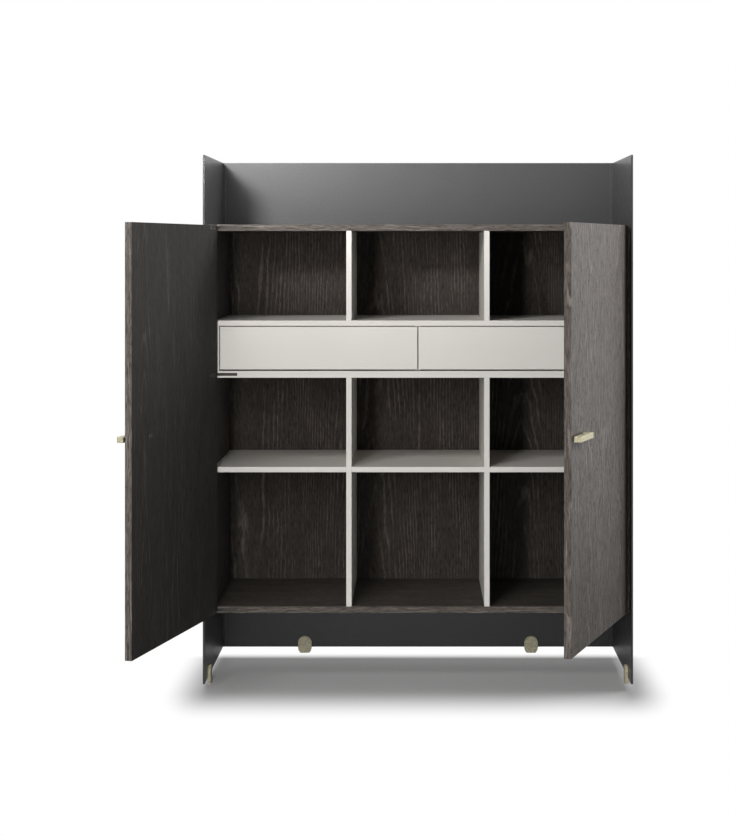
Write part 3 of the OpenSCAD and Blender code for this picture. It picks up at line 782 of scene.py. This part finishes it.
def door_frame(side):
    """A door at rest: a point on its hinge line, its directions along and inwards, and its turn.

    Along leads away from the hinge, and inwards from the outer face to the inner one.
    """
    joint = JOINTS[side + "_door_hinge"]
    # At rest the door stands open by as much as its joint can close it
    turn = np.radians(joint["range_deg"][0]) * -joint["axis"][2]
    along = Vector((np.cos(turn), np.sin(turn), 0.0)) * -joint["axis"][2]
    inwards = Vector((-np.sin(turn), np.cos(turn), 0.0))
    return Vector(joint["pos_m"]), along, inwards, turn


class BUFFET_OT_shell(Operator):
    """Finishes the sheet metal shell"""

    bl_idname = "buffet.shell"
    bl_label = "Shell"

    def execute(self, context):
        finish(lacquered_steel("satin_lacquered_steel", context.scene.buffet_steel), *SHEETS)
        return {"FINISHED"}


class BUFFET_OT_carcass(Operator):
    """Finishes the oak carcass, board by board along its grain"""

    bl_idname = "buffet.carcass"
    bl_label = "Carcass"

    def execute(self, context):
        look = context.scene.buffet_oak
        for name, (inward, turn, start) in PANELS.items():
            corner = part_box(name)[0]
            plane = inner_face_plane(name, inward)
            panel = brushed_oak(
                "brushed_oak_" + name, look, turn, corner, start, look.inner, *plane
            )
            finish(panel, name)
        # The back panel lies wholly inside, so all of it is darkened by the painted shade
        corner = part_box("back_panel")[0]
        back = brushed_oak(
            "brushed_oak_back", look, UPRIGHT_AT_BACK, corner, BACK_LEAF, look.inner
        )
        finish(back, "back_panel")
        return {"FINISHED"}


class BUFFET_OT_doors(Operator):
    """Finishes the two oak doors along the grain of each as it stands"""

    bl_idname = "buffet.doors"
    bl_label = "Doors"

    def execute(self, context):
        look = context.scene.buffet_oak
        for side, start in DOOR_LEAVES.items():
            pivot, _, inwards, turn = door_frame(side)
            # The inner face is darkened by door_inner, a painted shade
            door = brushed_oak(
                f"brushed_oak_{side}_door",
                look,
                (0, 0, turn),
                pivot,
                start,
                look.door_inner,
                inwards,
                inwards.dot(pivot) + DOOR_INNER_FACE_START,
            )
            finish(door, side + "_door_panel")
        return {"FINISHED"}


class BUFFET_OT_interior(Operator):
    """Finishes the lacquered interior and the drawers"""

    bl_idname = "buffet.interior"
    bl_label = "Interior and drawers"

    def execute(self, context):
        finish(matt_lacquer("matt_lacquer", context.scene.buffet_lacquer), *INTERIOR, *DRAWERS)
        return {"FINISHED"}


class BUFFET_OT_feet(Operator):
    """Builds the four plate feet with eased rims"""

    bl_idname = "buffet.feet"
    bl_label = "Feet"

    def execute(self, context):
        look = context.scene.buffet_champagne
        shape = context.scene.buffet_foot
        brass = champagne_brass("blasted_champagne_brass", look, rough=0.5, metallic=0.15)
        finish(brass, "foot_screws")
        for name in FEET:
            low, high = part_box(name)
            size = high - low
            # The two at the back face forwards, and the two at the sides face inwards
            back = size.y < size.x
            radius = (size.x if back else size.y) / 2
            # Each is stacked from its sheet to its face
            origin = (low + high) / 2
            origin.z = 0.0
            if back:
                origin.y = high.y
                axes = ((1, 0, 0), (0, 0, 1), (0, -1, 0))
            else:
                origin.x = low.x if origin.x < 0 else high.x
                axes = ((0, 1, 0), (0, 0, 1), (1 if origin.x < 0 else -1, 0, 0))
            foot = eased_plate(
                name + "_plate",
                lambda inset: foot_outline(inset, radius, shape.lower, high.z - radius),
                (size.y if back else size.x) + shape.cover,
                look.ease,
                origin,
                axes,
                brass,
            )
            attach(foot, "cabinet")
            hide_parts(name)
        return {"FINISHED"}


class BUFFET_OT_handles(Operator):
    """Builds the two bar handles with eased rims"""

    bl_idname = "buffet.handles"
    bl_label = "Handles"

    def execute(self, context):
        look = context.scene.buffet_champagne
        shape = context.scene.buffet_handle
        brass = champagne_brass("brushed_champagne_brass", look, rough=0.5, metallic=1.0)
        end, heel = shape.start + shape.length, shape.start + shape.foot
        corners = np.array(
            [
                (shape.start, -shape.front),
                (end, -shape.front),
                (end, -shape.back),
                (heel, -shape.back),
                (heel, -shape.face),
                (shape.start, -shape.face),
            ]
        )
        for side in ("left", "right"):
            name = side + "_door_handle"
            low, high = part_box(name)
            origin, along, inwards, _ = door_frame(side)
            origin.z = low.z
            handle = eased_plate(
                name + "_bar",
                lambda inset: handle_outline(inset, corners, shape.corner),
                high.z - low.z,
                look.ease,
                origin,
                (along, inwards, (0, 0, 1)),
                brass,
            )
            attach(handle, side + "_door")
            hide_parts(name)
        return {"FINISHED"}


class BUFFET_OT_metalwork(Operator):
    """Finishes the hinges, runners, screws and dowels"""

    bl_idname = "buffet.metalwork"
    bl_label = "Metalwork"

    def execute(self, context):
        # The bronzing is a dark oxide, which is no longer metallic
        finish(small_part("bronzed_steel", "#3d3a36", rough=0.6, metallic=0.0), *BLACK_METAL)
        finish(small_part("zinc_plated_steel", "#b4b6b9", rough=0.3, metallic=1.0), *ZINC)
        finish(small_part("turned_beech", "#c9a678", rough=0.6, metallic=0.0), *DOWELS)
        return {"FINISHED"}


def lamp(name, power, place, aim, size, spread=180, in_gloss=True):
    """Hangs a flat soft lamp at place, facing aim, that the camera doesn't see."""
    data = bpy.data.lights.new(name, "AREA")
    data.shape = "RECTANGLE"
    data.size, data.size_y = size
    data.energy = power
    data.spread = np.radians(spread)
    light = bpy.data.objects.new(name, data)
    bpy.context.collection.objects.link(light)
    light.location = place
    light.rotation_euler = (Vector(aim) - Vector(place)).to_track_quat("-Z", "Y").to_euler()
    light.visible_camera = False
    light.visible_glossy = in_gloss


def studio_world(strength):
    """Even light all round, which the camera, gloss and glass see as white."""
    world = bpy.data.worlds.new("studio")
    bpy.context.scene.world = world
    world.use_nodes = True
    tree = world.node_tree
    tree.nodes.clear()
    path = add(tree, "LightPath").outputs
    seen = add(
        tree,
        "Math",
        {0: path["Is Camera Ray"], 1: path["Is Transmission Ray"]},
        operation="MAXIMUM",
    )
    mirrored = add(tree, "Math", {0: seen, 1: path["Is Glossy Ray"]}, operation="MAXIMUM")
    level = add(tree, "MapRange", {0: mirrored, AT_LOW: strength, AT_HIGH: 1.0})
    sky = add(tree, "Background", {"Color": (1, 1, 1, 1), "Strength": level})
    add(tree, "OutputWorld", {"Surface": sky})


def pale_floor(look):
    """Pale matt floor that keeps the shadow at the cabinet's foot and turns plain white beyond it.

    The shadow fades from the foot's outline over 130 mm at the sides, 330 mm in front and 100 mm
    behind, where it is lightened already from the middle on: the whiteness is the length of the
    three fades taken as a vector. Gloss and glass see the shadow, and white only further out.
    """
    material, tree = bare_material("pale_floor")
    path = add(tree, "LightPath").outputs
    place = add(tree, "NewGeometry").outputs["Position"]
    split = add(tree, "SeparateXYZ", {0: place}).outputs
    sideways = add(tree, "Math", {0: split["X"]}, operation="ABSOLUTE")
    side = add(tree, "MapRange", {0: sideways, **SIDE_FADE})
    front = add(tree, "MapRange", {0: split["Y"], **FRONT_FADE})
    lightened = add(tree, "MapRange", {0: split["Y"], **MIDDLE_FADE})
    open_air = add(tree, "MapRange", {0: split["Y"], **BACK_FADE})
    behind = add(tree, "Math", {0: lightened, 1: open_air}, operation="MAXIMUM")
    fades = add(tree, "CombineXYZ", {0: side, 1: front, 2: behind})
    faded = add(tree, "VectorMath", {0: fades}, operation="LENGTH")
    near = add(tree, "MapRange", {0: faded}, interpolation_type="SMOOTHSTEP")
    away = add(tree, "VectorMath", {0: place}, operation="LENGTH")
    far = add(tree, "MapRange", {0: away, **FAR_FADE}, interpolation_type="SMOOTHSTEP")
    seen = add(tree, "Math", {0: near, 1: path["Is Camera Ray"]}, operation="MULTIPLY")
    bounced = add(
        tree,
        "Math",
        {0: path["Is Glossy Ray"], 1: path["Is Transmission Ray"]},
        operation="MAXIMUM",
    )
    mirrored = add(tree, "Math", {0: far, 1: bounced}, operation="MULTIPLY")
    white = add(tree, "Math", {0: seen, 1: mirrored}, operation="MAXIMUM")
    matt = add(tree, "BsdfDiffuse", {"Color": (*look.floor, 1)})
    glow = add(tree, "Emission", {"Color": (1, 1, 1, 1), "Strength": 1.0})
    mixed = add(tree, "MixShader", {0: white, 1: matt, 2: glow})
    add(tree, "OutputMaterial", {"Surface": mixed})
    return material


class BUFFET_OT_stage(Operator):
    """Lays the floor, hangs the lamps and sets the camera"""

    bl_idname = "buffet.stage"
    bl_label = "Stage"

    def execute(self, context):
        look = context.scene.buffet_stage
        context.scene.view_settings.view_transform = "Standard"
        mesh = bpy.data.meshes.new("floor")
        corners = [
            (x * FLOOR_HALF, y * FLOOR_HALF, 0) for x, y in ((-1, -1), (1, -1), (1, 1), (-1, 1))
        ]
        mesh.from_pydata(corners, [], [(0, 1, 2, 3)])
        mesh.materials.append(pale_floor(look))
        floor = bpy.data.objects.new("floor", mesh)
        context.collection.objects.link(floor)
        studio_world(look.fill)
        for name, settings in LAMPS.items():
            lamp(name + "_lamp", getattr(look, name), **settings)

        data = bpy.data.cameras.new("camera")
        data.lens = look.lens
        data.sensor_width = SENSOR_WIDTH
        data.shift_x, data.shift_y = FRAME_SHIFT
        data.clip_end = SIGHT_END
        camera = bpy.data.objects.new("camera", data)
        context.collection.objects.link(camera)
        camera.location = CAMERA_PLACE
        camera.rotation_euler = CAMERA_TURN
        context.scene.camera = camera
        return {"FINISHED"}


LOOKS = {
    "buffet_oak": OakLook,
    "buffet_lacquer": LacquerLook,
    "buffet_steel": SteelLook,
    "buffet_champagne": ChampagneLook,
    "buffet_foot": FootLook,
    "buffet_handle": HandleLook,
    "buffet_stage": StageLook,
}
STEPS = (
    BUFFET_OT_shell,
    BUFFET_OT_carcass,
    BUFFET_OT_doors,
    BUFFET_OT_interior,
    BUFFET_OT_feet,
    BUFFET_OT_handles,
    BUFFET_OT_metalwork,
    BUFFET_OT_stage,
)


class BUFFET_PT_panel(Panel):
    """Lists the steps that dress the cabinet"""

    bl_idname = "BUFFET_PT_panel"
    bl_label = "Buffet cabinet"
    bl_space_type = "VIEW_3D"
    bl_region_type = "UI"
    bl_category = "Buffet cabinet"

    def draw(self, context):
        for step in STEPS:
            self.layout.operator(step.bl_idname)


CLASSES = (*LOOKS.values(), *STEPS, BUFFET_PT_panel)


def register():
    for cls in CLASSES:
        bpy.utils.register_class(cls)
    for name, look in LOOKS.items():
        setattr(bpy.types.Scene, name, PointerProperty(type=look))


def unregister():
    for name in LOOKS:
        delattr(bpy.types.Scene, name)
    for cls in reversed(CLASSES):
        bpy.utils.unregister_class(cls)


def main():
    register()
    bpy.ops.buffet.shell()
    bpy.ops.buffet.carcass()
    bpy.ops.buffet.doors()
    bpy.ops.buffet.interior()
    bpy.ops.buffet.feet()
    bpy.ops.buffet.handles()
    bpy.ops.buffet.metalwork()
    bpy.ops.buffet.stage()


if __name__ == "__main__":
    main()
